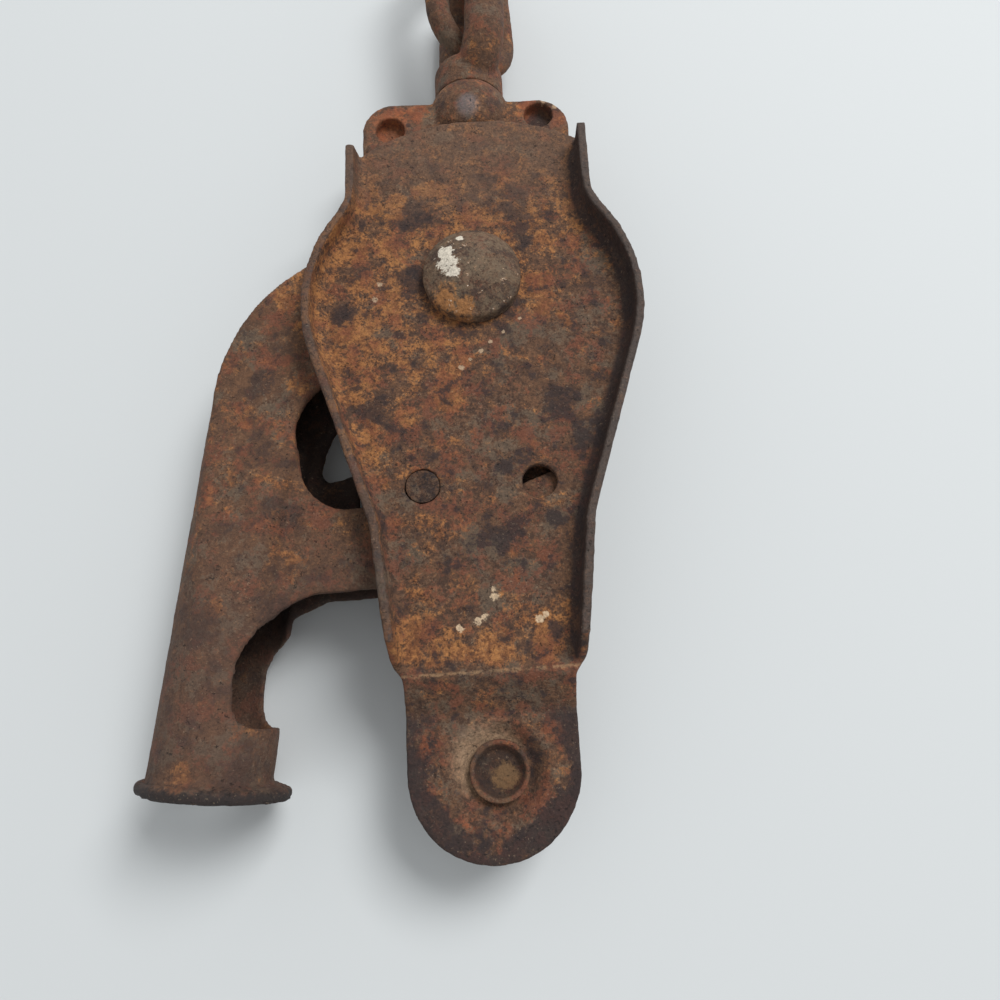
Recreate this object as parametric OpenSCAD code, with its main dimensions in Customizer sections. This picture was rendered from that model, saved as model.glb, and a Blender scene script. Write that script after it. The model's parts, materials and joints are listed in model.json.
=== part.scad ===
// Lever-operated hoist trolley block of pressed sheet steel, lying on its rear flanges.
// X is across the body, Y runs along it towards the swivel eye, Z is up through the two cheeks.
// The origin is the centre of the axle's flat rear head, on the plane that the block lies on.

/* [Cheeks] */
// Thickness of the pressed sheet
sheet = 2; // [1.5:0.1:2.4]
// Clear gap between the two cheeks
cheek_gap = 15; // [14.4:0.1:17]
// Height of the turned-out side flanges above the cheek's outer face
flange_h = 6.5; // [5:0.1:8]
// Radius of the round middle of the cheek
bulb_r = 38.8; // [37.5:0.1:41]
// Distance of the round middle's centre below the axle
bulb_drop = 7.7; // [6:0.1:9]
// Width of the neck over the flanges
neck_w = 58; // [56:0.5:62]
// Radius of the hollow between the neck and the round middle
neck_fillet_r = 12; // [9:0.5:15]
// Height of the crown above the axle
crown_up = 46; // [45:0.1:48]
// Radius of the crown's curve
crown_r = 50; // [46:0.5:56]
// Distance from the axle up to the tip of the right flange
horn_up = 38.2; // [36:0.1:39]
// Distance by which the left flange's tip is worn lower
horn_drop = 4.2; // [2:0.1:6]
// Distance from the axle down to the waist, where the sides steepen
waist_down = 59.5; // [57:0.5:64]
// Width over the flanges at the waist
waist_w = 47.2; // [45:0.1:50]
// Distance from the axle down to the foot of the flanges
foot_down = 88.5; // [86:0.5:94]
// Width over the flanges at the foot
foot_w = 39.8; // [38:0.1:42]

/* [Tab] */
// Width of the tab
tab_w = 35.6; // [32:0.1:37]
// Distance from the axle down to the round end of the tab
tab_down = 127.6; // [124:0.1:134]
// Depth by which the joggle sets the tab in
joggle_d = 5; // [4:0.1:5.4]
// Length of the sloping part of the joggle
joggle_l = 7; // [5:0.5:9]
// Distance from the tab's round end up to its rivet
tab_rivet_in = 17.6; // [15:0.1:20]
// Outer radius of the dimple pressed into the tab
dimple_r = 11; // [9.5:0.1:13]

/* [Axle] */
// Diameter of the axle
axle_d = 12.7; // [11:0.1:14]
// Diameter of the axle's domed head
axle_head_d = 23; // [20:0.1:24]
// Height of the domed head
axle_head_h = 7.4; // [5.5:0.1:8.5]
// Outer diameter of the sleeve that spaces the cheeks
sleeve_d = 17; // [15.5:0.1:19]

/* [Side rivets] */
// Distance of each side rivet from the centreline
rivet_x = 12.8; // [11.5:0.1:14]
// Distance from the axle down to the side rivets
rivet_down = 50.4; // [49:0.1:52]
// Diameter of a side rivet, and of the empty hole opposite
rivet_d = 7.5; // [6:0.1:8]

/* [Lever] */
// Width of the lever over its two fork walls
fork_w = 14; // [13:0.1:14.2]
// Radius of the lever's housing about the axle
housing_r = 32; // [31.6:0.1:33]
// Radius of the lever's shoulder
shoulder_r = 42; // [41:0.1:43]
// Outer diameter of the lever's tube
tube_d = 25; // [24.4:0.1:26]
// Bore of the tube, for a round handle
tube_bore = 21.8; // [20:0.1:22]
// Diameter of the flared mouth
flare_d = 30.6; // [29:0.1:31.4]
// Lean of the tube from the body's length
tube_lean = 6.3; // [5.5:0.1:7]

/* [Wheel] */
// Number of ratchet teeth
teeth = 20; // [18:1:22]
// Radius over the tips of the teeth
tooth_r = 29.2; // [27:0.1:29.4]
// Depth of a tooth
tooth_d = 3.2; // [2.4:0.1:4]
// Width of the whole wheel
wheel_w = 8; // [7:0.1:8.2]
// Radius at the bottom of the rope groove
groove_r = 20; // [16:0.5:22]

/* [Pawls] */
// Diameter of the drive pawl's pin
drive_pin_d = 5; // [4:0.1:5.6]
// Distance of the drive pawl's pin from the axle
drive_pin_r = 36.2; // [36:0.1:37]
// Length of the drive pawl from its pin to its tip
drive_reach = 14; // [13:0.1:14.4]
// Length of the holding pawl from its rivet to its tip
holding_reach = 29.8; // [29:0.1:30]
// Wall of a pawl's hub round its bore
pawl_wall = 2.4; // [1.8:0.1:3]

/* [Suspension] */
// Width of the crosshead over its lugs
head_w = 53; // [50:0.5:54]
// Height of the crosshead's lugs above the crown
lug_up = 9.1; // [8:0.1:12]
// Height of the ball-shaped boss above the lugs
boss_up = 4.2; // [3:0.1:6]
// Diameter of the boss
boss_d = 22; // [20:0.5:23]
// Diameter of the eye's neck on the boss
neck_d = 18.4; // [16:0.1:19.6]
// Diameter of the bar of the swivel eye
eye_bar = 10.6; // [9:0.1:10.8]
// Width of the eye over its bar
eye_w = 32.6; // [31:0.1:33]
// Straight part of the eye's two legs
eye_leg = 18; // [14:0.5:24]
// Turn of the eye from the plane of the cheeks
eye_turn = 68; // [60:1:72]
// Diameter of the chain link's wire
link_wire = 6.4; // [5:0.1:6.6]
// Width of the chain link over its wire
link_w = 29.4; // [28:0.1:31]
// Length of the chain link over its wire
link_l = 58; // [54:0.5:66]

/* [Hidden] */
$fn = 96;
tiny = 0.01;
inset = 0.02;
run = 0.05;                                      // radial clearance of a running fit
gap = 0.3;                                       // clearance of a loose neighbour
z_mid = flange_h + sheet + cheek_gap / 2;        // the plane midway between the cheeks
z_in = cheek_gap / 2;                            // inner face of a cheek from the mid plane
z_out = z_in + sheet;                            // outer face of a cheek from the mid plane
wall_z = fork_w / 2;                             // outer face of a fork wall from the mid plane

// Turns and places what follows at the mid plane
module at_mid() { translate([0, 0, z_mid]) children(); }
// Draws a shape and its mirror image about the body's centreline
module both_sides() { children(); mirror([1, 0, 0]) children(); }
// Slab centred on the mid plane, cut to an outline
module slab(t) { translate([0, 0, -t / 2]) linear_extrude(t) children(); }
// Point on a circle
function on_circle(c, r, a) = [c.x + r * cos(a), c.y + r * sin(a)];
// Point where two lines meet, each given by a unit normal and its distance from the origin
function meet(n, p, m, q) =
    let (d = n.x * m.y - n.y * m.x) [(p * m.y - q * n.y) / d, (n.x * q - m.x * p) / d];

// Outline of a cheek without its crown's cut, set in by d from the outer face of the flanges
bulb_c = [0, -bulb_drop];
waist = [waist_w / 2, -waist_down];
foot = [foot_w / 2, -foot_down];
side_a = atan2(bulb_c.y - waist.y, bulb_c.x - waist.x) - asin(bulb_r / norm(waist - bulb_c));
side_n = [sin(side_a), -cos(side_a)];
foot_a = atan2(waist.y - foot.y, waist.x - foot.x);
foot_n = [sin(foot_a), -cos(foot_a)];
fillet_x = neck_w / 2 + neck_fillet_r;
fillet_c = [fillet_x, bulb_c.y + sqrt(pow(bulb_r + neck_fillet_r, 2) - pow(fillet_x, 2))];
module outline(d) {
    hip = bulb_c + (bulb_r - d) * side_n;
    side = meet(side_n, side_n * waist - d, foot_n, foot_n * waist - d);
    low = [(foot_n * waist - d + foot_n.y * foot_down) / foot_n.x, -foot_down];
    translate(bulb_c) circle(r = bulb_r - d);
    translate([d - neck_w / 2, bulb_c.y]) square([neck_w - 2 * d, crown_r + bulb_drop + 1]);
    polygon([hip, side, low, [-low.x, low.y], [-side.x, side.y], [-hip.x, hip.y]]);
    both_sides() difference() {
        polygon([bulb_c, fillet_c, [neck_w / 2 - d - 1, fillet_c.y]]);
        translate(fillet_c) circle(r = neck_fillet_r + d);
    }
}
// A cheek as the front one stands, from the mid plane
tab_z = z_in - joggle_d;                         // inner face of the tab from the mid plane
bend_y = -foot_down - 2.8;                       // line where the joggle starts
tab_end_r = tab_w / 2;
tab_end = [0, tab_end_r - tab_down];
tab_rivet_c = [1.2, tab_rivet_in - tab_down];
tab_bore = rivet_d + 2 * run;
dimple_foot_r = 8;
crown_c = [3, crown_up - crown_r];
foot_slope = 4.5;                                // length over which a flange runs out at its foot
// Prism along X from one point to another, cut to an outline in Y and Z
module beam(from, to) { translate([from, 0, 0]) rotate([90, 0, 90]) linear_extrude(to - from) children(); }
// The parts of the two flanges that are cut away above their tips and below their foot
module flange_ends() {
    over = 2 * bulb_r;
    beam(0, over) translate([horn_up, -1]) square([over, flange_h + 2]);
    beam(-over, 0) polygon([[horn_up - horn_drop, flange_h + 1], [horn_up - 0.4, -1], [over, -1],
                            [over, flange_h + 1]]);
    beam(-over, over) polygon([[-foot_down - 1, 0], [foot_slope - foot_down, flange_h + tiny],
                               [foot_slope - foot_down, flange_h + 1], [-foot_down - 1, flange_h + 1]]);
}
module cheek() {
    difference() {
        union() {
            translate([0, 0, z_in]) linear_extrude(sheet) {
                intersection() {
                    outline(0);
                    union() {
                        translate(crown_c) circle(r = crown_r);
                        translate([-bulb_r - 1, -foot_down - 1]) square([2 * bulb_r + 2, foot_down + 1]);
                    }
                }
                polygon([[-foot_w / 2, -foot_down], [foot_w / 2, -foot_down], [tab_w / 2, bend_y],
                         [-tab_w / 2, bend_y]]);
            }
            translate([0, 0, z_out - tiny]) difference() {
                linear_extrude(flange_h + tiny) difference() {
                    outline(0);
                    outline(sheet);
                }
                flange_ends();
            }
            beam(-tab_w / 2, tab_w / 2)
                polygon([[bend_y, z_out], [bend_y, z_in], [bend_y - joggle_l, tab_z], [tab_end.y + 1, tab_z],
                         [tab_end.y + 1, tab_z + sheet], [bend_y - joggle_l, tab_z + sheet]]);
            translate([tab_end.x, tab_end.y, tab_z]) cylinder(r = tab_end_r, h = sheet);
        }
        translate([0, 0, z_in - 1]) cylinder(d = axle_d + 2 * run, h = sheet + 2);
        both_sides() translate([rivet_x, -rivet_down, z_in - 1])
            cylinder(d = rivet_d + 2 * run, h = sheet + 2);
        translate([tab_rivet_c.x, tab_rivet_c.y, tab_z - 1]) cylinder(r = dimple_r - 0.5, h = sheet + 2);
    }
    // the dimple, whose floor reaches the mid plane
    translate(tab_rivet_c) rotate_extrude()
        polygon([[tab_bore / 2, 0], [dimple_foot_r, 0], [dimple_r, tab_z], [dimple_r, tab_z + sheet],
                 [dimple_r - 1, tab_z + sheet], [dimple_foot_r - 1.2, sheet], [tab_bore / 2, sheet]]);
}

module front_cheek() { color("saddlebrown") at_mid() cheek(); }
module rear_cheek() { color("saddlebrown") at_mid() mirror([0, 0, 1]) cheek(); }

// Axle: a rivet with a domed front head and a flat rear head
rim_h = 3;
dome_h = axle_head_h - rim_h;
dome_r = (pow(axle_head_d / 2, 2) + pow(dome_h, 2)) / (2 * dome_h);
rear_head_d = 18.5;
module axle_rivet() {
    color("dimgray") {
        cylinder(d = rear_head_d, h = flange_h);
        cylinder(d = axle_d, h = z_mid + z_out + 1);
        translate([0, 0, z_mid + z_out]) {
            cylinder(d = axle_head_d, h = rim_h);
            intersection() {
                translate([0, 0, axle_head_h - dome_r]) sphere(r = dome_r);
                translate([0, 0, rim_h - 1]) cylinder(d = axle_head_d - 2 * inset, h = axle_head_h);
            }
        }
    }
}
module axle_sleeve() {
    color("gray") at_mid() slab(cheek_gap) difference() {
        circle(d = sleeve_d);
        circle(d = axle_d + 2 * run);
    }
}

// The one side rivet that is left, flush in both cheeks, and the sleeve that spaces them
module side_rivet() {
    color("dimgray") at_mid() translate([-rivet_x, -rivet_down, 0]) slab(2 * z_out) circle(d = rivet_d);
}
side_sleeve_d = rivet_d + 1.6;
module side_rivet_sleeve() {
    color("gray") at_mid() translate([-rivet_x, -rivet_down, 0]) slab(cheek_gap) difference() {
        circle(d = side_sleeve_d);
        circle(d = rivet_d + 2 * run);
    }
}

// Tubular rivet through the two dimples, with a cup in its front head
tab_head_d = 12.4;
tab_head_h = 2.3;
tab_rear_h = 1.5;
cup_floor_d = 8.2;
cup_mouth_d = 11.2;
module tab_rivet() {
    color("peru") at_mid() translate(tab_rivet_c) difference() {
        union() {
            slab(2 * sheet + 2) circle(d = rivet_d);
            translate([0, 0, sheet]) cylinder(d = tab_head_d, h = tab_head_h);
            translate([0, 0, -sheet - tab_rear_h]) cylinder(d = tab_head_d, h = tab_rear_h);
        }
        translate([0, 0, sheet + 0.3]) cylinder(d1 = cup_floor_d, d2 = cup_mouth_d, h = tab_head_h);
    }
}

// Crosshead: a tang between the cheeks, two lugs with round pockets and a ball-shaped boss for the swivel
lug_top = crown_up + lug_up;
boss_top = lug_top + boss_up;
boss_c = [1.2, boss_top - sqrt(pow(boss_d / 2, 2) - pow(neck_d / 2, 2))];
tang_y = housing_r + 3.4;
tang_w = 50;
lug_t = 12;
lug_corner_r = 8.4;
pockets = [[-19.5, 47.1], [18.9, 50.2]];
pocket_d = 7.4;
pocket_deep = 3.2;
shank_d = 9.6;
chamber_w = 16;
chamber_y = tang_y + 1.6;
chamber_top = crown_up - 0.6;
// Turns a round shape so that it stands on the swivel's axis at a given height
module on_swivel(y) { translate([boss_c.x, y, 0]) rotate([-90, 0, 0]) children(); }
module crosshead() {
    color("sienna") at_mid() difference() {
        union() {
            slab(cheek_gap) translate([-tang_w / 2, tang_y]) square([tang_w, crown_up - 4 - tang_y]);
            slab(lug_t) {
                translate([-head_w / 2, crown_up - 9]) square([head_w, lug_up + 9 - lug_corner_r]);
                translate([lug_corner_r - head_w / 2, crown_up]) square([head_w - 2 * lug_corner_r, lug_up]);
                both_sides() translate([head_w / 2 - lug_corner_r, lug_top - lug_corner_r])
                    circle(r = lug_corner_r);
            }
            intersection() {
                on_swivel(boss_c.y) sphere(d = boss_d);
                on_swivel(crown_up + gap) cylinder(d = boss_d + 2, h = boss_top - crown_up - gap);
            }
        }
        for (pocket = pockets, face = [0, 1]) mirror([0, 0, face])
            translate([pocket.x, pocket.y, lug_t / 2 - pocket_deep])
                cylinder(d = pocket_d, h = pocket_deep + 4);
        // the chamber is open to the rear, where the shank's end was riveted over
        translate([boss_c.x - chamber_w / 2, chamber_y, -cheek_gap])
            cube([chamber_w, chamber_top - chamber_y, 1.5 * cheek_gap - 1]);
        on_swivel(chamber_y) cylinder(d = shank_d + 2 * run, h = boss_top);
    }
}
// Washer under the shank's riveted end, in the crosshead's chamber
washer_d = 12.4;
washer_t = 1.6;
module swivel_washer() {
    color("dimgray") at_mid() on_swivel(chamber_top - gap - washer_t) difference() {
        cylinder(d = washer_d, h = washer_t);
        translate([0, 0, -1]) cylinder(d = shank_d + 2 * run, h = washer_t + 2);
    }
}
// Forged swivel eye: a shank through the boss, a wide neck on it and a long eye that leans a little
eye_foot = boss_top + gap;
eye_mid_r = (eye_w - eye_bar) / 2;
eye_low = 5.5 + eye_mid_r;
eye_high = eye_low + eye_leg;
eye_lean = 2.6;
eye_head = 1.6;
neck_h = 8.4;
neck_taper = 2.2;
module bend(r, wire, y, from) {
    translate([0, y, 0]) rotate([0, 0, from]) rotate_extrude(angle = 180) translate([r, 0]) circle(d = wire);
}
module leg(r, wire, y, l) {
    both_sides() translate([r, y, 0]) rotate([-90, 0, 0]) cylinder(d = wire, h = l);
}
module swivel_eye() {
    color("rosybrown") at_mid() {
        on_swivel(chamber_top - 5.6) cylinder(d = shank_d, h = eye_foot - chamber_top + 8);
        on_swivel(chamber_top - 2 * gap - washer_t - eye_head) cylinder(d = washer_d - 0.4, h = eye_head);
        on_swivel(eye_foot) cylinder(d = neck_d, h = neck_h);
        on_swivel(eye_foot + neck_h - tiny) cylinder(d1 = neck_d, d2 = shank_d + 2, h = neck_taper);
        translate([boss_c.x, eye_foot, 0]) rotate([0, 0, -eye_lean]) rotate([0, -eye_turn, 0]) {
            bend(eye_mid_r, eye_bar, eye_low, 180);
            bend(eye_mid_r, eye_bar, eye_high, 0);
            leg(eye_mid_r, eye_bar, eye_low, eye_leg);
        }
    }
}
// Chain link round the top of the eye, slid down into it
link_r = (link_w - link_wire) / 2;
link_side = link_l - link_w;
eye_top = eye_high + eye_mid_r;
link_pivot = [boss_c.x + eye_top * sin(eye_lean), eye_foot + eye_top * cos(eye_lean), 0];
link_drop = 30.6;
link_turn = 40;
link_lean = 3;
link_off = -1.8;
module chain_link() {
    color("slategray") at_mid() translate(link_pivot)
        rotate([0, link_turn, 0]) rotate([0, 0, link_lean]) translate([link_off, link_r - link_drop, 0]) {
            bend(link_r, link_wire, 0, 180);
            bend(link_r, link_wire, link_side, 0);
            leg(link_r, link_wire, 0, link_side);
        }
}

// Wheel: a grooved core between two ratchet discs, riveted together on a bush
disc_t = 2;
core_t = wheel_w - 2 * disc_t;
core_r = tooth_r - tooth_d - 1.2;
bush_d = 21;
wheel_rivet_r = 15;
wheel_rivet_d = 4;
module wheel_holes() {
    circle(d = bush_d);
    for (i = [0 : 3]) rotate(45 + i * 90) translate([wheel_rivet_r, 0]) circle(d = wheel_rivet_d);
}
module rope_wheel() {
    color("dimgray") at_mid() difference() {
        slab(core_t) difference() {
            circle(r = core_r);
            wheel_holes();
        }
        rotate_extrude() polygon([[core_r + 1, -core_t / 2 + 0.4], [core_r + 1, core_t / 2 - 0.4],
                                  [groove_r, 0.7], [groove_r, -0.7]]);
    }
}
// A saw tooth leans the way in which the wheel may turn
tooth_step = 360 / teeth;
tooth_phase = 8;
module ratchet_disc() {
    linear_extrude(disc_t) difference() {
        rotate(tooth_phase) polygon([for (i = [0 : teeth - 1]) each [
            on_circle([0, 0], tooth_r, i * tooth_step),
            on_circle([0, 0], tooth_r - tooth_d, (i + 0.1) * tooth_step),
            on_circle([0, 0], tooth_r - tooth_d * 0.5, (i + 0.55) * tooth_step)]]);
        wheel_holes();
    }
}
module front_ratchet_disc() { color("dimgray") at_mid() translate([0, 0, core_t / 2]) ratchet_disc(); }
module rear_ratchet_disc() {
    color("dimgray") at_mid() translate([0, 0, -core_t / 2 - disc_t]) ratchet_disc();
}
module wheel_rivets() {
    color("gray") at_mid() for (i = [0 : 3]) rotate(45 + i * 90) translate([wheel_rivet_r, 0, 0])
        slab(wheel_w) circle(d = wheel_rivet_d);
}
module wheel_bush() {
    color("darkgoldenrod") at_mid() slab(wheel_w) difference() {
        circle(d = bush_d);
        circle(d = sleeve_d + 2 * run);
    }
}
washer_gap = 0.1;
thrust_t = wall_z - sheet - wheel_w / 2 - 2 * washer_gap;
module thrust_washers() {
    color("gray") at_mid() for (face = [0, 1]) mirror([0, 0, face])
        translate([0, 0, wheel_w / 2 + washer_gap]) linear_extrude(thrust_t) difference() {
            circle(d = bush_d + 3);
            circle(d = sleeve_d + 2 * run);
        }
}

// Lever: a housing round the wheel, two fork walls with a window for the side rivets, and a tube
mouth = [-59.2, -112.2];
tube_dir = [sin(tube_lean), cos(tube_lean)];
shoulder_c = [-18.8, -28.9];
flare_l = 3;
flare_x = 1.6;
collar_l = 13.9;
relief = 0.2;
bridge_y = -72.4;
module along_tube(s) {
    along = mouth + s * tube_dir;
    translate([along.x, along.y, 0]) rotate([-90, 0, -tube_lean]) children();
}
// Upper outline of the lever, set in by d
module back_outline(d) {
    circle(r = housing_r - d);
    intersection() {
        translate(shoulder_c) circle(r = shoulder_r - d);
        translate([-70, -45]) square([50, 80]);
    }
}
// The window through which the side rivet's sleeve passes as the lever swings
window_r = [38.5, 59.4];
window_a = [-122, -86.2];
window_end_r = 5;
module window() {
    difference() {
        intersection() {
            circle(r = window_r[1]);
            polygon([[0, 0], on_circle([0, 0], 90, window_a[0]), on_circle([0, 0], 90, window_a[1])]);
        }
        circle(r = window_r[0]);
    }
    translate(on_circle([0, 0], norm([rivet_x, rivet_down]), window_a[1])) circle(r = window_end_r);
    polygon([[1, -40], [3, -52.4], [7.4, -50.6], [16.8, -46.8], [17.6, -44.5], [16.6, -41.3],
             [12.6, -38.8]]);
    translate([-28.6, -35.3]) circle(r = 12.8);
    translate([-29.5, -43.2]) circle(r = 10.7);
    polygon([[-28.6, -35.3], [-41.3, -36.9], [-40, -45.6], [-29.5, -43.2]]);
}
// The part of the window that the rear fork wall fills
module rear_fill() {
    polygon([[-60, -60], [-29.2, -60], [-29.2, -42], [-30.65, -42.3], [-34, -43.4], [-37.1, -43.7],
             [-38.3, -41.5], [-37.1, -36], [-35.7, -32.4], [-34.3, -30.1], [-32.5, -27], [-31, -20],
             [-60, -20]]);
}
module fork_wall() {
    difference() {
        union() {
            back_outline(0);
            polygon([[-52, -14], [-54, -58], [-54, -76], [-44, -75.8], [-36.4, bridge_y], [-6, bridge_y + 1],
                     [8, -65], [19, -55], [21.5, -43], [25, -20], [0, 0]]);
        }
        circle(d = sleeve_d + 2 * run);
        translate(drive_pin) circle(d = drive_pin_d);
    }
}
// The open notch in the tube's inner side, between the bridge and the collar, front and rear
module front_notch() {
    polygon([[-30, bridge_y], [-36.4, bridge_y], [-40.4, -73.8], [-43.7, -75.8], [-46.9, -79],
             [-49.3, -82.6], [-51.3, -86.5], [-51.5, -95], [-51, -97.4], [-49, -99], [-44, -99.6],
             [-30, -99.6]]);
}
module rear_notch() {
    polygon([[-30, bridge_y], [-36.4, bridge_y], [-39, -74], [-42.5, -78], [-46, -80.8], [-49.3, -83.5],
             [-51.3, -87], [-51.5, -95], [-51, -97.4], [-49, -99], [-44, -99.6], [-30, -99.6]]);
}
// The tube's outside or bore from a given distance past its mouth, pressed flat towards the fork
flat_from = 34;
flat_to = 84;
flat_end = 88;
module arm(d, thick, from, to) {
    intersection() {
        along_tube(from) cylinder(d = d, h = to - from);
        translate(mouth) rotate([0, -90, -tube_lean]) linear_extrude(2 * d, center = true)
            polygon([[-d, from - 3], [d, from - 3], [d / 2 + inset, flat_from], [thick / 2, flat_to],
                     [thick / 2, to + 3], [-thick / 2, to + 3], [-thick / 2, flat_to],
                     [-d / 2 - inset, flat_from]]);
    }
}
// Room between the fork walls for the wheel and the pawls, open to the tube's bore
module fork_room() {
    polygon([[-55.5, -73], [-50, -26], [-50, 40], [40, 40], [40, -90], [-30, -90]]);
}
module lever() {
    room = fork_w - 2 * sheet;
    color("saddlebrown") at_mid() difference() {
        union() {
            slab(fork_w) difference() {
                back_outline(0);
                back_outline(sheet);
                polygon([[0, 0], [-14, 60], [60, 60], [60, -60], [-70, -60], [-70, -30], [-50, -28]]);
            }
            difference() {
                union() {
                    for (face = [0, 1]) mirror([0, 0, face])
                        translate([0, 0, wall_z - sheet]) linear_extrude(sheet) fork_wall();
                    difference() {
                        arm(tube_d, fork_w, 0, flat_end);
                        slab(room) fork_room();
                    }
                    along_tube(0) translate([flare_x, 0, 0])
                        cylinder(d1 = flare_d, d2 = flare_d - 3.2, h = flare_l);
                }
                along_tube(-1) cylinder(d = tube_bore, h = collar_l + 2);
                arm(tube_bore + 2 * relief, room, collar_l, flat_end + 1);
                along_tube(-1) cylinder(d1 = flare_d - 4, d2 = tube_bore - 0.4, h = flare_l + 1.9);
            }
        }
        linear_extrude(40) window();
        mirror([0, 0, 1]) linear_extrude(40) difference() { window(); rear_fill(); }
        linear_extrude(40) front_notch();
        mirror([0, 0, 1]) linear_extrude(40) rear_notch();
    }
}
// Pawls, drawn lifted clear of the teeth
pawl_w = wheel_w - 0.4;
module pawl(c, a, reach, bore) {
    hub = bore / 2 + pawl_wall;
    color("dimgray") at_mid() translate([c.x, c.y, 0]) rotate(a) difference() {
        union() {
            slab(pawl_w) circle(r = hub);
            slab(pawl_w) polygon([[0, hub - 0.4], [reach - 2, 1.6], [reach, 0.4], [reach - 1, -1],
                                  [hub + 1, -1.4], [0, 1 - hub]]);
        }
        slab(wheel_w) circle(d = bore + 2 * run);
    }
}
// Drive pawl on the lever, on a pin with flush ends, and the leaf spring behind it
drive_pin = on_circle([0, 0], drive_pin_r, 195);
drive_way = 68.8;
module drive_pawl() { pawl(drive_pin, drive_way, drive_reach, drive_pin_d); }
module drive_pawl_pin() {
    color("gray") at_mid() translate([drive_pin.x, drive_pin.y, 0]) slab(fork_w) circle(d = drive_pin_d);
}
module drive_pawl_spring() {
    root_r = shoulder_r - sheet - inset;
    color("gray") at_mid() slab(5)
        polygon([on_circle(shoulder_c, root_r, 138), [-35.7, -1.8], [-36.4, -2.7],
                 on_circle(shoulder_c, root_r, 140)]);
}
// Holding pawl on the side rivet's sleeve
holding_way = 109;
module holding_pawl() { pawl([-rivet_x, -rivet_down], holding_way, holding_reach, side_sleeve_d); }

front_cheek();
rear_cheek();
axle_rivet();
axle_sleeve();
side_rivet();
side_rivet_sleeve();
tab_rivet();
crosshead();
swivel_washer();
swivel_eye();
chain_link();
rope_wheel();
front_ratchet_disc();
rear_ratchet_disc();
wheel_rivets();
wheel_bush();
thrust_washers();
lever();
drive_pawl();
drive_pawl_pin();
drive_pawl_spring();
holding_pawl();
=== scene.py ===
# Hoist block of rusty pressed steel with a hollow lever, lying on a pale floor.
import json
import math

import bpy
from mathutils import Matrix, Vector


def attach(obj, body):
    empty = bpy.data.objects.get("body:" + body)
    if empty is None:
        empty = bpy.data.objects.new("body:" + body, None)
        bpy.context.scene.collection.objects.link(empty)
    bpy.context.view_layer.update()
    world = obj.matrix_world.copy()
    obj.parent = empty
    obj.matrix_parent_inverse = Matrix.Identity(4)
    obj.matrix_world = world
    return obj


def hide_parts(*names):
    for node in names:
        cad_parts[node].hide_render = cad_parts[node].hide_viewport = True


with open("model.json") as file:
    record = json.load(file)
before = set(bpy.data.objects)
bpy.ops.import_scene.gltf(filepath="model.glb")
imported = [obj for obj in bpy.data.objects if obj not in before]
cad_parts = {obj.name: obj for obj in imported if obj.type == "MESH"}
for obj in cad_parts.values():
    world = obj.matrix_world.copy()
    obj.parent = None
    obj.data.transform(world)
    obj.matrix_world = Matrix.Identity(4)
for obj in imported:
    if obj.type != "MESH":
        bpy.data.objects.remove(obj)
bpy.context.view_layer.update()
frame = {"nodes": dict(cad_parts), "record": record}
MM = 0.001


# Shader maths as expressions

class Value:
    """A node's output that can be added, multiplied and so on."""

    def __init__(self, finish, socket):
        self.finish, self.socket = finish, socket

    def math(self, operation, other, swapped=False, clamp=False):
        first, second = (other, self) if swapped else (self, other)
        return self.finish.node("Math", {"operation": operation, "use_clamp": clamp}, {0: first, 1: second})

    def __add__(self, other):
        return self.math("ADD", other)

    def __radd__(self, other):
        return self.math("ADD", other)

    def __sub__(self, other):
        return self.math("SUBTRACT", other)

    def __rsub__(self, other):
        return self.math("SUBTRACT", other, swapped=True)

    def __mul__(self, other):
        return self.math("MULTIPLY", other)

    def __rmul__(self, other):
        return self.math("MULTIPLY", other)

    def step(self, low, high):
        """0 below low, 1 above high and smooth between them."""
        return self.finish.node("MapRange", {"interpolation_type": "SMOOTHSTEP"},
                                {"Value": self, "From Min": low, "From Max": high})

    def either(self, other):
        return self.math("MAXIMUM", other)


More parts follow.
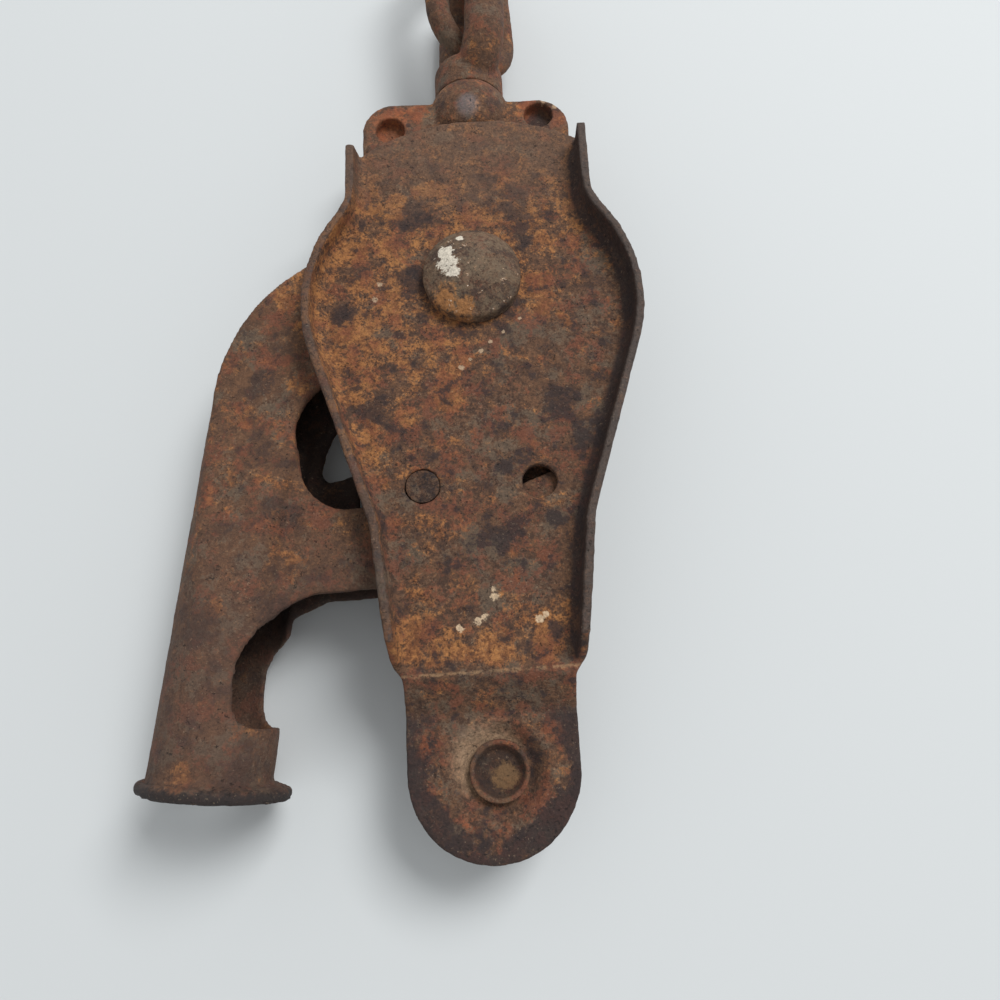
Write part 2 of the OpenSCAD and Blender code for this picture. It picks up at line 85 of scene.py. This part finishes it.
class Finish:
    """One material, whose nodes come from the one method node()."""

    def __init__(self, name):
        self.material = bpy.data.materials.new(name)
        self.material.use_nodes = True
        self.tree = self.material.node_tree
        self.shader = self.tree.nodes["Principled BSDF"]
        self.place = self.node("TexCoord", {}, {}, "Object")
        self.x, self.y, self.z = (self.node("SeparateXYZ", {}, {"Vector": self.place}, axis) * 1000
                                  for axis in "XYZ")

        normal = self.node("TexCoord", {}, {}, "Normal")
        self.upward = self.node("SeparateXYZ", {}, {"Vector": normal}, "Z")
        self.outward = self.node("SeparateXYZ", {}, {"Vector": normal}, "X") * self.x

    def put(self, socket, value):
        if isinstance(value, Value):
            self.tree.links.new(value.socket, socket)
        elif isinstance(value, tuple) and len(value) == 3 and socket.type == "RGBA":
            socket.default_value = (*value, 1)
        else:
            socket.default_value = value

    def node(self, kind, settings, values, output=0):
        made = self.tree.nodes.new("ShaderNode" + kind)
        for name, setting in settings.items():
            if name == "stops":
                self.fill_ramp(made.color_ramp.elements, setting)
            else:
                setattr(made, name, setting)
        for name, value in values.items():
            self.put(made.inputs[name], value)
        return Value(self, made.outputs[output])

    def fill_ramp(self, elements, stops):
        while len(elements) < len(stops):
            elements.new(1)
        for element, (place, colour) in zip(elements, stops):
            element.position = place
            element.color = (*colour, 1)

    def noise(self, size, detail=4, roughness=0.6, offset=0, distortion=0):
        """Noise with features of about size mm, from 0 to 1."""
        moved = self.node("VectorMath", {"operation": "ADD"}, {0: self.place, 1: (offset, offset * 0.7, 0)})
        return self.node("TexNoise", {}, {"Vector": moved, "Scale": 1000 / size, "Detail": detail,
                                          "Roughness": roughness, "Distortion": distortion})

    def broad(self, size, offset):
        """Patches of about size mm with ragged edges, stronger than plain noise."""
        return (self.noise(size, 6, 0.68, offset) - 0.5) * 1.5 + 0.5

    def mix(self, amount, first, second, blend="MIX"):
        made = self.tree.nodes.new("ShaderNodeMix")
        made.data_type = "RGBA"
        made.blend_type = blend
        for index, value in ((0, amount), (6, first), (7, second)):
            self.put(made.inputs[index], value)
        return Value(self, made.outputs[2])

    def spot(self, x, y, inner, outer):
        """1 within inner mm of a point seen from above, falling to 0 at outer mm."""
        away = self.node("VectorMath", {"operation": "DISTANCE"},
                         {0: self.node("VectorMath", {"operation": "MULTIPLY"}, {0: self.place, 1: (1, 1, 0)}),
                          1: (x * MM, y * MM, 0)}, "Value")
        return 1 - (away * 1000).step(inner, outer)

    def spots(self, places):
        """The nearest of several spots, each (x, y, radius)."""
        here = 0
        for x, y, radius in places:
            here = self.spot(x, y, radius * 0.2, radius * 1.5).either(here)
        return here

    def finish(self, colour, roughness, height, depth, metallic=0.0):
        bump = self.node("Bump", {}, {"Height": height, "Strength": 1.0, "Distance": depth * MM})
        for name, value in (("Base Color", colour), ("Roughness", roughness), ("Metallic", metallic),
                            ("Normal", bump)):
            self.put(self.shader.inputs[name], value)
        return self.material


def srgb(*channels):
    return tuple(((c / 255 + 0.055) / 1.055) ** 2.4 for c in channels)


SHADE = srgb(50, 35, 30)
BROWN = srgb(103, 72, 50)
RED = srgb(114, 62, 42)
OCHRE = (srgb(120, 74, 42), srgb(166, 112, 62))
ORANGE = srgb(150, 82, 46)
PLUM = srgb(43, 32, 32)
GREY = srgb(96, 82, 67)
RIM = srgb(60, 47, 40)
# Near black, for pits and for painted shade inside the lever's rear half and the tab rivet's cup
PIT_AND_SHADE = srgb(24, 16, 15)
SPECK = srgb(178, 152, 124)
CHALK = srgb(205, 196, 180)
TAN = srgb(166, 138, 110)
LIP = srgb(36, 31, 31)
MOUTH = Vector((-59.2, -112.2, 16))
LEAN = math.radians(6.3)


def rust(name, warmth, tone=0.0, offset=0.0, grit=1.0, lift=None, ochre_at=(), plum_at=(), extra=None, rim=None):
    """Rusty steel: brown, with ragged patches of red, ochre, plum and grey, a fine grain, pits and specks.

    warmth sets how much of it is ochre, lift(f) adds to that from place to place, and grit is the
    contrast of it all. Patches are
    likelier at the places (x, y, radius) given, rim(f) is where the skin is rubbed to dark metal, and
    extra(f, small) gives more layers, each (amount, colour)."""
    f = Finish(name)
    patch = f.noise(4.2, 6, 0.7, offset + 1.3, 0.4)
    small = f.noise(1.5, 5, 0.75, offset + 2.9)
    grain = f.noise(0.55, 3, 0.7, offset + 4.4)
    ragged = (small - 0.5) * 0.85 + (grain - 0.5) * 0.45
    local = lift(f) if lift else 0
    colour = f.mix((patch * 0.6 + small * 0.4 + ragged * 0.4).step(0.36, 0.6), f.mix(1 - 0.7 * grit, SHADE, BROWN), BROWN)
    grey = (f.broad(7, offset + 3.6) + ragged * 0.8 - local * 0.6).step(0.53, 0.66)
    colour = f.mix(grey * 0.7, colour, GREY)
    warm = f.broad(6.5, offset + 6.6) + ragged + warmth + local + f.spots(ochre_at) * 0.25
    colour = f.mix(warm.step(0.48, 0.7) * 0.85, colour,
                   f.mix((patch + ragged + local * 0.5).step(0.42, 0.7), *OCHRE))
    red = (f.broad(6, offset + 8.2) + ragged * 0.8).step(0.52, 0.66)
    colour = f.mix(red * 0.62, colour, RED)
    cold = f.broad(5, offset + 9.4) + ragged * 0.8 + f.spots(plum_at) * 0.26
    colour = f.mix(cold.step(0.56, 0.7) * (0.85 * grit), colour, PLUM)
    for amount, layer in extra(f, small) if extra else ():
        colour = f.mix(amount, colour, layer)
    bare = (rim(f) + ragged * 0.6).step(0.35, 0.7) * 0.85 if rim else 0
    colour = f.mix(bare, colour, RIM)
    colour = f.mix(1, colour, (grain - 0.5) * (1.5 * grit) + (small - 0.5) * (0.7 * grit) + (1.0 + tone), "MULTIPLY")
    pit = f.noise(0.9, 4, 0.75, offset + 7.7).step(0.6, 0.68) * f.noise(8, 4, 0.6, offset + 9.1).step(0.4, 0.56)
    colour = f.mix(pit * 0.65, colour, PIT_AND_SHADE)
    speck = f.noise(0.6, 3, 0.7, offset + 8.7).step(0.6, 0.7) * f.noise(10, 5, 0.65, offset + 9.3).step(0.42, 0.58)
    colour = f.mix(speck * 0.3, colour, SPECK)
    height = grain * 0.35 + small * 0.7 + patch * 0.6 - pit * 0.5
    return f.finish(colour, 0.86 - (bare * 0.3 if rim else 0), height, 0.5)


def cheek_lift(f):
    """More ochre left of the axle and above the bend at the foot, and less at the crown and on the right."""
    wander = (f.noise(14, 4, 0.6, 3.3) - 0.5) * 18
    left = 1 - (f.x - f.y * 0.9 + wander).step(6, 30)
    band = (f.y + wander * 0.3).step(-91, -87) * (1 - (f.y + wander * 0.3).step(-82, -70))
    side = (1 - (f.x + wander * 0.5).step(-14, 0)) * (1 - f.y.step(-42, -36)) * f.y.step(-72, -60)
    crown = (f.y + wander * 0.3).step(20, 34)
    return left * 0.18 + band * 0.14 + side * 0.07 - crown * 0.12 - 0.08


def cheek_rim(f):
    """The flanges' edges and outer sides, less on the left."""
    return (f.z.step(31.2, 31.8).either((f.outward * 0.05).step(0.3, 0.8)) * f.y.step(-92, -88)
            * (f.x.step(-10, 10) * 0.45 + 0.55))


def crumbs(f, small, places, colour):
    """Small chips of another colour at some places."""
    near = f.spots(places) * f.z.step(14, 18)
    return (near + (small - 0.5) * 3.4).step(0.5, 0.8) * near.step(0, 0.25) * 0.8, colour


def cheek_extra(f, small):
    """Painted shade on the right flange's inner wall and bend, which face away from the lamp, dirt at the tab's edge,
    a pale crescent in its dimple that is partly dust and partly painted highlight, a fold line and chips.
    """
    # Painted shade: surfaces facing inwards on the right flange, its inner wall and bend, are darkened with plum.
    bend = (f.outward * -0.05).step(0.05, 0.6) * f.x.step(8, 14) * f.z.step(25.4, 26)
    wander = f.noise(6, 6, 0.7, 12.3) - 0.5
    edge = (1 - (f.y + wander * 26).step(-102, -93)) * (1.1 - f.spot(-0.2, -107.5, 9, 16.5)) + wander * 4.6
    # Pale crescent on the dimple's upper-left slope: partly dust and partly a painted highlight where the slope faces
    # the lamp.
    dimple = f.spot(-1.2, -107.8, 4, 11.5) * (1 - f.spot(1.2, -110, 5.5, 6.6)) + (small - 0.5) * 0.9
    fold = ((f.y - f.x * 0.02 + (small - 0.5) * 2.5).step(-90.9, -90.4) * (1 - (f.y - f.x * 0.02).step(-90.3, -89.9))
            * (f.noise(3, 5, 0.7, 5.2) + 0.02).step(0.45, 0.56))
    crown = (f.y + (small - 0.5) * 30 + (f.noise(9, 5, 0.65, 2.2) - 0.5) * 40).step(14, 34)
    return ((crown * 0.5, srgb(106, 80, 62)),
            (bend * 0.8, PLUM),
            ((edge + (small - 0.5)).step(0.5, 0.95) * (1 - f.y.step(-94, -91)) * 0.85, PLUM),
            (f.spots(((-5.3, -119.7, 2.2), (1, -121, 2), (11.8, -102.5, 2.4), (-13, -104, 3)))
             * (small + 0.1).step(0.5, 0.7) * 0.5, ORANGE),
            (dimple.step(0.2, 1.25) * 0.8, TAN),
            (fold * 0.5, srgb(168, 134, 98)),
            crumbs(f, small, ((-3.4, -22.7, 0.8), (-1.2, -20.6, 0.6), (1.2, -18.6, 0.7), (3.5, -16.4, 0.6),
                              (6.6, -13.8, 0.6), (10.7, -10.6, 0.6), (-23, -4.2, 0.9), (-21.8, -0.3, 0.8)), SPECK),
            crumbs(f, small, ((-5.7, -81.4, 1), (-1.9, -80.2, 1), (-0.4, -79.4, 0.9), (10.9, -80.2, 1.1), (12.2, -79.4, 0.8),
                              (1.8, -75.3, 1.1), (1.6, -73.6, 0.8), (-3.4, 10.4, 0.8)), srgb(206, 180, 148)))


def head_extra(f, small):
    """Grey-brown scale, with chalk on the upper left of the axle's head and ochre at its lower left."""
    chalk = f.spots(((-5.9, 3.8, 2.2), (-5.4, 0.6, 2.6), (-4.2, -1.8, 1.6), (-2.4, 7.6, 1)))
    ochre = f.spots(((-6.2, -7.2, 3.2), (-2.2, -9.4, 2.8)))
    return (((small + 0.05).step(0.4, 0.6) * 0.75, srgb(106, 90, 71)),
            ((f.broad(5, 4.7) + (small - 0.5)).step(0.52, 0.66) * 0.75, SHADE),
            ((ochre + (small - 0.5) * 4).step(0.3, 0.9) * 0.75, OCHRE[1]),
            ((chalk + (small - 0.5) * 3).step(0.4, 0.62) * f.z.step(14, 18), CHALK))


def crosshead_extra(f, small):
    """Orange rust on the lugs, a grey rubbed patch on the boss and a pale crust at the right lug's top."""
    lugs = f.spots(((-19.5, 49, 6), (-13, 52, 3.4), (16.5, 52.5, 3)))
    dirt = f.spots(((19, 50.4, 3.6), (-14.8, 48.4, 0.8)))
    return (((lugs + (small - 0.5) * 3).step(0.3, 0.9) * 0.45, ORANGE),
            ((dirt + (small - 0.5) * 2).step(0.3, 0.8) * 0.8, PLUM),
            (f.spot(0.8, 50.2, 1.5, 3.8) * 0.5, srgb(112, 112, 116)),
            crumbs(f, small, ((20.8, 54.6, 1.2), (23.2, 52.4, 0.9)), TAN))


def tab_rivet_extra(f, small):
    """Painted shade inside the rivet's cup, with a lighter brown patch on its floor towards the lower right, painted
    as the lit part of the floor.
    """
    # Painted shade: the cup's inside, below a height of about 20 mm, is darkened.
    cup = 1 - f.z.step(19.6, 20.3)
    floor = f.spot(2.3, -111, 1.6, 4.2)
    return ((cup * 0.6, PIT_AND_SHADE), (cup * (floor + (small - 0.5) * 2.2).step(0.3, 0.9) * 0.7, srgb(120, 90, 58)))


def lever_lift(f):
    """Less ochre on the tube than on the housing."""
    return (f.y + (f.noise(14, 4, 0.6, 5.1) - 0.5) * 20).step(-85, -45) * 0.1 - 0.1


def lever_extra(f, small):
    """Painted shade inside the rear half of the tube, darkest towards the window and lighter in the notch, and dark
    oily rust on the mouth's edge.
    """
    # Painted shade: upward-facing surfaces below the lever's middle, the inside of its rear half, are darkened.
    inside = (1 - f.z.step(13, 16)) * f.upward.step(0, 0.3) * ((f.y + (small - 0.5) * 10).step(-98, -62) * 0.75 + 0.2)
    along = f.x * math.sin(LEAN) + f.y * math.cos(LEAN) - (MOUTH.x * math.sin(LEAN) + MOUTH.y * math.cos(LEAN))
    tube = 1 - (f.y + (small - 0.5) * 30).step(-85, -45)
    return ((tube * 0.4, srgb(80, 59, 50)), (inside * 0.85, PIT_AND_SHADE), ((1 - (along + (small - 0.5) * 4).step(1.4, 3.4)) * 0.9, LIP))


cheek_rust = rust("cheek_rust", 0.0, -0.04, lift=cheek_lift, rim=cheek_rim, extra=cheek_extra, ochre_at=(
    (-30, 21.8, 2.2), (-26, 20.4, 2.2), (-21.5, 19.2, 2), (-17.5, 18.4, 2), (-17.3, 23.1, 2.2), (-12.5, 25, 2.2),
    (-8, 26, 2.4), (-29, 9.6, 4), (-19.9, -4.4, 3), (-29.9, -13, 4), (17.5, -6.2, 4), (20, -11.6, 3), (-6.2, -30.4, 4),
    (-17, -84.5, 4), (-8, -86, 4), (2, -86.5, 4), (12, -85.5, 4)), plum_at=(
    (-13.9, 17.8, 5), (-14.4, 1, 4.5), (-31, -7.5, 3), (8, 21.5, 5), (13, 12, 4), (-22.6, -33, 4.5), (18.5, -31.6, 5),
    (24.7, -39.2, 4), (7.5, -46.5, 3), (15.5, -59.5, 3), (3, -62, 4.5), (4, -83, 2), (14, -82.5, 2)))
lever_rust = rust("lever_rust", -0.05, 0.0, 3.1, 0.72, lift=lever_lift, extra=lever_extra, ochre_at=(
    (-60.2, -107.2, 3.4), (-55.9, -74.4, 2.4), (-49.6, -99.4, 2.6), (-39.7, -65, 4), (-44.8, -1.7, 3), (-51.8, -32, 3),
    (-40.7, -23.9, 3), (-38, -8, 3)), plum_at=(
    (-57.4, -79, 4), (-45.5, -74, 4), (-50, -108, 4), (-48.9, -37, 3.4), (-43.1, -55.9, 4), (-49, -22, 3)))
forged_rust = rust("forged_rust", -0.1, 0.0, 5.9, 0.75)
rivet_rust = rust("rivet_rust", -0.2, -0.22, 2.2, 1.3)
head_rust = rust("head_rust", -0.2, 0.06, 6.7, extra=head_extra)
crosshead_rust = rust("crosshead_rust", -0.06, 0.08, 4.8, 0.8, extra=crosshead_extra)
tab_rivet_rust = rust("tab_rivet_rust", -0.16, 0.0, 7.3, 0.8, extra=tab_rivet_extra)
inner_rust = rust("inner_rust", -0.02, -0.3, 8.3)


# Worn copies of the pieces that show: their edges are rounded and their skin is pitted

def only(piece):
    """Selects one object and nothing else."""
    bpy.ops.object.select_all(action="DESELECT")
    piece.select_set(True)
    bpy.context.view_layer.objects.active = piece


def modify(piece, kind, **settings):
    """Adds a modifier and applies it."""
    made = piece.modifiers.new(kind.lower(), kind)
    for name, value in settings.items():
        setattr(made, name, value)
    only(piece)
    bpy.ops.object.modifier_apply(modifier=made.name)


def clouds(name, size, depth):
    """Texture of soft lumps of about size mm, for a displacement."""
    made = bpy.data.textures.new(name, "CLOUDS")
    made.noise_scale = size * MM
    made.noise_depth = depth
    return made


LUMPS = clouds("lumps", 9, 2)
SCALE = clouds("scale", 1.6, 3)


def worn(name, voxel, soft, shape=None, lumps=0.35, scale=0.22):
    """A copy of a CAD node with round edges, a skin of voxel mm and an uneven surface, shown in its place."""
    node = frame["nodes"][name]
    piece = bpy.data.objects.new("worn_" + name, node.data.copy())
    bpy.context.scene.collection.objects.link(piece)
    only(piece)
    bpy.ops.object.mode_set(mode="EDIT")
    bpy.ops.mesh.select_all(action="SELECT")
    bpy.ops.mesh.remove_doubles(threshold=0.00001)
    bpy.ops.object.mode_set(mode="OBJECT")
    modify(piece, "REMESH", mode="VOXEL", voxel_size=voxel * MM)
    if shape:
        for vertex in piece.data.vertices:
            vertex.co = shape(vertex.co / MM) * MM
    modify(piece, "SMOOTH", factor=0.5, iterations=soft)
    modify(piece, "DISPLACE", texture=LUMPS, texture_coords="LOCAL", strength=lumps * MM, mid_level=0.5)
    modify(piece, "DISPLACE", texture=SCALE, texture_coords="LOCAL", strength=scale * MM, mid_level=0.5)
    bpy.ops.object.shade_smooth()
    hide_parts(name)
    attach(piece, BODY[name])
    piece.data.materials.clear()
    piece.data.materials.append(LOOKS.get(name, forged_rust))
    return piece


# The press's rounded bends between a cheek's plate and its flanges

BULB = Vector((0, -7.7))
BULB_R = 38.8
WAIST = Vector((23.6, -59.5))
FOOT = Vector((19.9, -88.5))
HOLLOW = Vector((41, 22.3))
HOLLOW_R = 12
NECK = 29
OUTER, INNER = (0, 23.5, 3.6), (2, 25.5, 3.2)


def side_normal():
    """Outward normal of the straight side that runs from the waist up to the round middle."""
    away = WAIST - BULB
    turn = math.atan2(-away.y, -away.x) - math.asin(BULB_R / away.length)
    return Vector((math.sin(turn), -math.cos(turn)))


SIDE = side_normal()
FOOT_SIDE = Vector((WAIST.y - FOOT.y, FOOT.x - WAIST.x)).normalized()
HIP_Y = (BULB + BULB_R * SIDE).y


def from_edge(x, y):
    """Distance of a point from the flanges' outer face, and the way inwards."""
    at = Vector((abs(x), y))
    if y < WAIST.y:
        depth, inwards = FOOT_SIDE.dot(WAIST - at), -FOOT_SIDE
    elif y < HIP_Y:
        depth, inwards = SIDE.dot(WAIST - at), -SIDE
    elif y < 15.2:
        depth, inwards = BULB_R - (at - BULB).length, (BULB - at).normalized()
    elif y < HOLLOW.y:
        depth, inwards = (at - HOLLOW).length - HOLLOW_R, (at - HOLLOW).normalized()
    else:
        depth, inwards = NECK - at.x, Vector((-1, 0))
    return depth, Vector((math.copysign(inwards.x, -x), inwards.y))


def ramp(value, low, high):
    return min(max((value - low) / (high - low), 0), 1)


def round_bend(at):
    """Moves a point of the front cheek, in mm, onto the round inside or outside of its flanges' bend."""
    depth, inwards = from_edge(at.x, at.y)
    fade = ramp(at.y, -89, -84) * (1 - ramp(at.y, 33, 37))
    for start, level, radius in (OUTER, INNER):
        radius *= fade
        across, up = depth - start, at.z - level
        on_wall = abs(across) < 0.45 and up < radius
        on_floor = abs(up) < 0.45 and across < radius
        if radius > 0.1 and min(across, up) > -0.45 and (on_wall or on_floor):
            turn = math.radians(45) * (1 + (max(up, 0) - max(across, 0)) / radius)
            shift = start + radius * (1 - math.sin(turn)) - depth
            return Vector((at.x + inwards.x * shift, at.y + inwards.y * shift,
                           level + radius * (1 - math.cos(turn))))
    return at


def round_rear_bend(at):
    return flip(round_bend(flip(at)))


def flip(at):
    """Turns a point over from one cheek to the other."""
    return Vector((at.x, at.y, 32 - at.z))


BODY = {name: body for body, names in frame["record"]["behaviour"]["bodies"].items() for name in names}

LOOKS = {"front_cheek": cheek_rust, "rear_cheek": cheek_rust, "lever": lever_rust, "axle_rivet": head_rust, "side_rivet": rivet_rust,
         "crosshead": crosshead_rust, "tab_rivet": tab_rivet_rust,
         "rope_wheel": inner_rust, "front_ratchet_disc": inner_rust, "rear_ratchet_disc": inner_rust,
         "holding_pawl": inner_rust, "drive_pawl": inner_rust, "drive_pawl_spring": inner_rust}
for name, node in frame["nodes"].items():
    for slot in node.material_slots:
        slot.material = LOOKS.get(name, forged_rust)

worn("front_cheek", 0.5, 6, round_bend)
worn("rear_cheek", 0.7, 4, round_rear_bend)
worn("lever", 0.65, 6)
worn("crosshead", 0.4, 12)
worn("axle_rivet", 0.35, 8)
worn("tab_rivet", 0.25, 5, lumps=0.2, scale=0.1)
worn("side_rivet", 0.2, 5, lumps=0.2, scale=0.1)
worn("swivel_eye", 0.4, 10)
worn("chain_link", 0.3, 4)


def mouth_bead():
    """The rolled lip round the mouth of the lever's tube."""
    bpy.ops.object.select_all(action="DESELECT")
    bpy.ops.mesh.primitive_torus_add(major_radius=14.1 * MM, minor_radius=1.35 * MM, major_segments=160,
                                     minor_segments=20, location=(MOUTH + Vector((1.5, 1.2, 0))) * MM,
                                     rotation=(math.radians(90), 0, -LEAN))
    bead = bpy.context.object
    bead.name = "mouth_bead"
    bpy.ops.object.transform_apply(location=True, rotation=True, scale=True)
    modify(bead, "DISPLACE", texture=LUMPS, texture_coords="LOCAL", strength=0.9 * MM, mid_level=0.5)
    modify(bead, "DISPLACE", texture=SCALE, texture_coords="LOCAL", strength=0.3 * MM, mid_level=0.5)
    bpy.ops.object.shade_smooth()
    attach(bead, "lever")
    bead.data.materials.append(lever_rust)


mouth_bead()


# The floor, the light and the camera

bpy.ops.object.select_all(action="DESELECT")
bpy.ops.mesh.primitive_plane_add(size=3, location=(0, 0, 0))
floor = bpy.context.object
floor.name = "floor"
card = Finish("pale_card")
floor.data.materials.append(card.finish(srgb(207, 211, 212), 0.8, card.noise(30, 3), 0.05))

world = bpy.data.worlds.new("studio")
world.use_nodes = True
world.node_tree.nodes["Background"].inputs["Color"].default_value = (0.98, 0.99, 1, 1)
world.node_tree.nodes["Background"].inputs["Strength"].default_value = 0.55
bpy.context.scene.world = world


def lamp(name, place, target, size, power):
    bpy.ops.object.light_add(type="AREA", location=place)
    made = bpy.context.object
    made.name = name
    made.data.size = size
    made.data.energy = power
    made.rotation_euler = (Vector(target) - Vector(place)).to_track_quat("-Z", "Y").to_euler()


lamp("key", (0.8, 0.75, 1.5), (0, -0.03, 0), 0.8, 27)

TILT = math.radians(16)
eye = Vector((1.73, -99.01, 181.56)) * MM
aim = (Vector((3.91, -54.36, 25.5)) * MM - eye).normalized()
up = Vector((0.04885 * math.cos(TILT), 0.9988 * math.cos(TILT), math.sin(TILT)))
right = aim.cross(up).normalized()
up = right.cross(aim)
bpy.ops.object.camera_add()
camera = bpy.context.object
camera.matrix_world = Matrix.Translation(eye) @ Matrix((right, up, -aim)).transposed().to_4x4()
camera.data.lens = 27
camera.data.sensor_width = 36
camera.data.clip_start = 0.01
bpy.context.scene.camera = camera
bpy.context.scene.view_settings.view_transform = "Standard"
